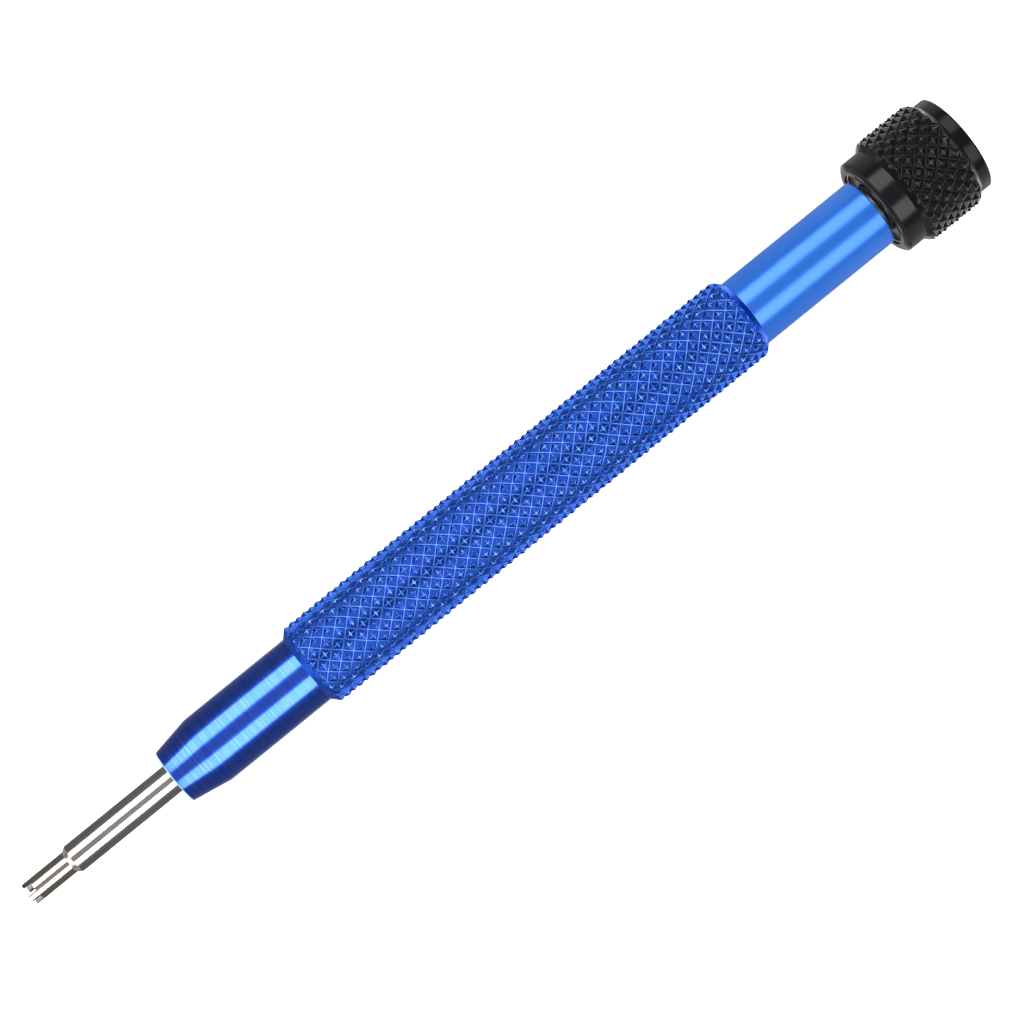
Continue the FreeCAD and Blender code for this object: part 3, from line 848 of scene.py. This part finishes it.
def dress_cad_nodes():
    """Gives the CAD nodes that stay in view their materials."""
    choices = {
        "bit_set_screw": OXIDE_STEEL,
        "bearing_inner_ring": RING_STEEL,
        # The cages take the same near-black steel, a painted shade.
        "bearing_cage_lower": SHADED_SHEET_STEEL,
        "bearing_cage_upper": SHADED_SHEET_STEEL,
        "shoulder_shim": SCREW_STEEL,
        "spigot_washer": SCREW_STEEL,
        "spigot_screw": SCREW_STEEL,
    }
    for number in range(1, BALL_COUNT + 1):
        choices[f"bearing_ball_{number}"] = BALL_STEEL
    for node, material in choices.items():
        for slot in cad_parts[node].material_slots:
            slot.material = material


# ---------------------------------------------------------------------------------------------
# Stage, light and camera
# ---------------------------------------------------------------------------------------------

# Distances and sizes of the stage and its lights are in metres, and angles in degrees.
FLOOR_RADIUS = 3.0
FLOOR_GLOW = 0.75
DOME_RADIUS = FLOOR_RADIUS * 0.98
STRIP_DISTANCE = 1.0
STRIP_NEAR_ANGLE = 21.0
STRIP_FAR_ANGLE = 58.0
STRIP_LENGTH = 0.88
STRIP_MIDDLE = -0.028
STRIP_RADIANCE = 4.4
CARD_DISTANCE = 0.030
CARD_WIDTH = 0.060
CARD_HEIGHT = 0.022
CARD_MIDDLE = 0.015
CARD_RADIANCE = 2.0

# How bright the room is: its patches, then from straight above to straight below, and how wide an
# angle about straight below the underlight fills.
LOW_ENDS = 0.8
HIGH_ENDS = 1.5
CORNERS = 2.6
TIP_SIDES = 0.55
OVERHEAD = 0.42
HORIZON = 0.19
BELOW = 0.22
UNDERLIGHT = 0.75
UNDERLIGHT_ANGLE = 26.0


def pale_material(name, glow):
    """A white surface with a slight grain, that glows enough to wash its shadows out."""
    m = Shader(name)
    grain = m.noise((40, 40, 40), detail=2)
    m.set(
        Base_Color=m.mixed(grain, rgba(0.86, 0.86, 0.86), rgba(0.90, 0.90, 0.90)),
        Roughness=0.9,
        Specular_IOR_Level=0.1,
        Emission_Color=rgba(1, 1, 1),
        Emission_Strength=glow,
    )
    return m.material


def make_floor():
    """A white table under the lying tool, in touch with the cap's rim and the grip's lower end."""
    slope = math.atan2(CAP_RADIUS - GRIP_RADIUS, CAP_BAND_START - GRIP_START)
    gap = 0.01
    bm = bmesh.new()
    bmesh.ops.create_circle(bm, cap_ends=True, radius=FLOOR_RADIUS, segments=96)
    mesh = mesh_from("floor", bm)
    mesh.materials.append(pale_material("floor_white", FLOOR_GLOW))
    floor = bpy.data.objects.new("floor", mesh)
    floor.rotation_euler = (0, slope, 0)
    floor.location = (GRIP_START * MM, 0, -(GRIP_RADIUS + gap) * MM)
    bpy.context.scene.collection.objects.link(floor)
    floor.visible_glossy = False
    floor.visible_shadow = False


def make_backdrop():
    """A white dome round the table, seen only directly, never in the metal."""
    bm = bmesh.new()
    bmesh.ops.create_uvsphere(bm, u_segments=48, v_segments=24, radius=DOME_RADIUS)
    mesh = mesh_from("backdrop", bm)
    mesh.materials.append(pale_material("backdrop_white", 1.0))
    dome = bpy.data.objects.new("backdrop", mesh)
    bpy.context.scene.collection.objects.link(dome)
    for ray in ("glossy", "diffuse", "transmission", "shadow"):
        setattr(dome, f"visible_{ray}", False)


def add_softbox(name, length, width, radiance):
    """A rectangular lamp of an even brightness, out of sight of the camera."""
    light = bpy.data.lights.new(name, "AREA")
    light.shape = "RECTANGLE"
    light.size = length
    light.size_y = width
    light.energy = radiance * math.pi * light.size * light.size_y
    lamp = bpy.data.objects.new(name, light)
    lamp.visible_camera = False
    bpy.context.scene.collection.objects.link(lamp)
    return lamp


def make_strip(name, side):
    """A long softbox parallel to the tool, above it and to one side."""
    middle = math.radians((STRIP_NEAR_ANGLE + STRIP_FAR_ANGLE) / 2)
    half_angle = math.radians((STRIP_FAR_ANGLE - STRIP_NEAR_ANGLE) / 2)
    width = 2 * STRIP_DISTANCE * math.tan(half_angle)
    lamp = add_softbox(name, STRIP_LENGTH, width, STRIP_RADIANCE)
    target = Vector((STRIP_MIDDLE, 0, 0))
    offset = Vector((0, side * math.sin(middle), math.cos(middle))) * STRIP_DISTANCE
    lamp.location = target + offset
    across = Vector((1, 0, 0)).cross(offset).normalized()
    lamp.rotation_mode = "QUATERNION"
    frame_of_lamp = Matrix((Vector((1, 0, 0)), -across, offset.normalized())).transposed()
    lamp.rotation_quaternion = frame_of_lamp.to_quaternion()


def make_tip_card():
    """A small white card just past the tip and above its axis, which lights the bit's conical step."""
    card = add_softbox("tip_card", CARD_WIDTH, CARD_HEIGHT, CARD_RADIANCE)
    card.location = (-CARD_DISTANCE, 0, CARD_MIDDLE)
    card.rotation_euler = (math.pi / 2, 0, -math.pi / 2)


def smooth_share(tree, value, low, high):
    """Where a number lies between two others, smoothly from 0 to 1."""
    node = tree.nodes.new("ShaderNodeMapRange")
    node.interpolation_type = "SMOOTHSTEP"
    node.inputs["From Min"].default_value = low
    node.inputs["From Max"].default_value = high
    tree.links.new(value, node.inputs["Value"])
    return node.outputs["Result"]


def mixed_patch(tree, colour, level, limits):
    """A colour with a patch of an even level over it, where every (number, from, to) of limits is reached."""
    share = None
    for value, low, high in limits:
        reached = smooth_share(tree, value, low, high)
        if share is None:
            share = reached
            continue
        product = tree.nodes.new("ShaderNodeMath")
        product.operation = "MULTIPLY"
        tree.links.new(share, product.inputs[0])
        tree.links.new(reached, product.inputs[1])
        share = product.outputs[0]
    mix = tree.nodes.new("ShaderNodeMix")
    mix.data_type = "RGBA"
    tree.links.new(share, mix.inputs["Factor"])
    tree.links.new(colour, mix.inputs["A"])
    mix.inputs["B"].default_value = rgba(level, level, level)
    return mix.outputs["Result"]


def make_world():
    """A dim room, brighter overhead and straight below, with bright patches beyond the tool's two ends.

    A direction is told by how far it points along the tool and upwards: 1 is to the cap, or to the zenith."""
    world = bpy.data.worlds.new("studio")
    world.use_nodes = True
    tree = world.node_tree
    place = tree.nodes.new("ShaderNodeTexCoord")
    apart = tree.nodes.new("ShaderNodeSeparateXYZ")
    tree.links.new(place.outputs["Generated"], apart.inputs["Vector"])
    up = apart.outputs["Z"]
    ramp = tree.nodes.new("ShaderNodeValToRGB")
    levels = [
        (-math.cos(math.radians(UNDERLIGHT_ANGLE - 5)), UNDERLIGHT),
        (-math.cos(math.radians(UNDERLIGHT_ANGLE + 5)), BELOW),
        (-0.55, HORIZON),
        (0.2, HORIZON),
        (0.9, OVERHEAD),
    ]
    elements = ramp.color_ramp.elements
    for number, (rise, level) in enumerate(levels):
        place_on_ramp = (rise + 1) / 2
        element = elements[number] if number < 2 else elements.new(place_on_ramp)
        element.position = place_on_ramp
        element.color = rgba(level, level, level)
    height = tree.nodes.new("ShaderNodeMapRange")
    height.inputs["From Min"].default_value = -1.0
    tree.links.new(up, height.inputs["Value"])
    tree.links.new(height.outputs["Result"], ramp.inputs["Fac"])
    along_tool = apart.outputs["X"]
    lengthwise = tree.nodes.new("ShaderNodeMath")
    lengthwise.operation = "ABSOLUTE"
    tree.links.new(along_tool, lengthwise.inputs[0])
    either_end = lengthwise.outputs[0]
    low_down = (up, 0.25, 0.05)
    towards_tip = (along_tool, -0.42, -0.55)
    patches = [
        # Low in the room's corners, for the knurls' slanted slopes. What the smooth parts mirror, which is
        # the room straight across the tool, stays dark.
        (CORNERS, [(along_tool, 0.19, 0.37), (along_tool, 0.94, 0.78), low_down, (up, -0.86, -0.76)]),
        (CORNERS, [towards_tip, (along_tool, -0.80, -0.70), low_down, (up, -0.35, -0.15)]),
        # Lower and weaker, for the bevel in the cap's mouth and the sides of the bit's step.
        (TIP_SIDES, [towards_tip, (up, -0.15, -0.35)]),
        # Low and high beyond both ends, for the slopes that face along the tool.
        (LOW_ENDS, [(either_end, 0.78, 0.94), (up, 0.04, -0.06)]),
        (HIGH_ENDS, [(either_end, 0.60, 0.68), (up, 0.44, 0.54)]),
    ]
    colour = ramp.outputs["Color"]
    for level, limits in patches:
        colour = mixed_patch(tree, colour, level, limits)
    tree.links.new(colour, tree.nodes["Background"].inputs["Color"])
    bpy.context.scene.world = world


# The camera: angles in degrees, its distance in metres, its lens and the point it looks at in mm.
VIEW_TILT = 3.0
VIEW_DISTANCE = 0.255
VIEW_LENS = 94.5
VIEW_CENTRE = (57.79, -0.67)
AXIS_RISE = 39.08


def make_camera():
    """A camera almost straight above the tool, rolled so that the tool rises to the right."""
    tilt = math.radians(VIEW_TILT)
    rise = math.radians(AXIS_RISE)
    look = Vector((math.sin(tilt), 0, -math.cos(tilt)))
    axis_seen = Vector((math.cos(tilt), 0, math.sin(tilt)))
    right = axis_seen * math.cos(rise) - Vector((0, 1, 0)) * math.sin(rise)
    up = axis_seen * math.sin(rise) + Vector((0, 1, 0)) * math.cos(rise)
    camera = bpy.data.objects.new("camera", bpy.data.cameras.new("camera"))
    camera.data.lens = VIEW_LENS
    camera.data.sensor_width = 36.0
    camera.data.clip_start = 0.01
    camera.data.clip_end = 20.0
    target = Vector((VIEW_CENTRE[0] * MM, VIEW_CENTRE[1] * MM, 0))
    camera.location = target - look * VIEW_DISTANCE
    camera.rotation_mode = "QUATERNION"
    camera.rotation_quaternion = Matrix((right, up, -look)).transposed().to_quaternion()
    bpy.context.scene.collection.objects.link(camera)
    bpy.context.scene.camera = camera


make_handle()
make_bit()
make_cap()
make_outer_ring()
make_shields()
make_snap_rings()
dress_cad_nodes()
make_floor()
make_backdrop()
make_strip("strip_left", 1)
make_strip("strip_right", -1)
make_tip_card()
make_world()
make_camera()
bpy.context.scene.view_settings.view_transform = "Standard"
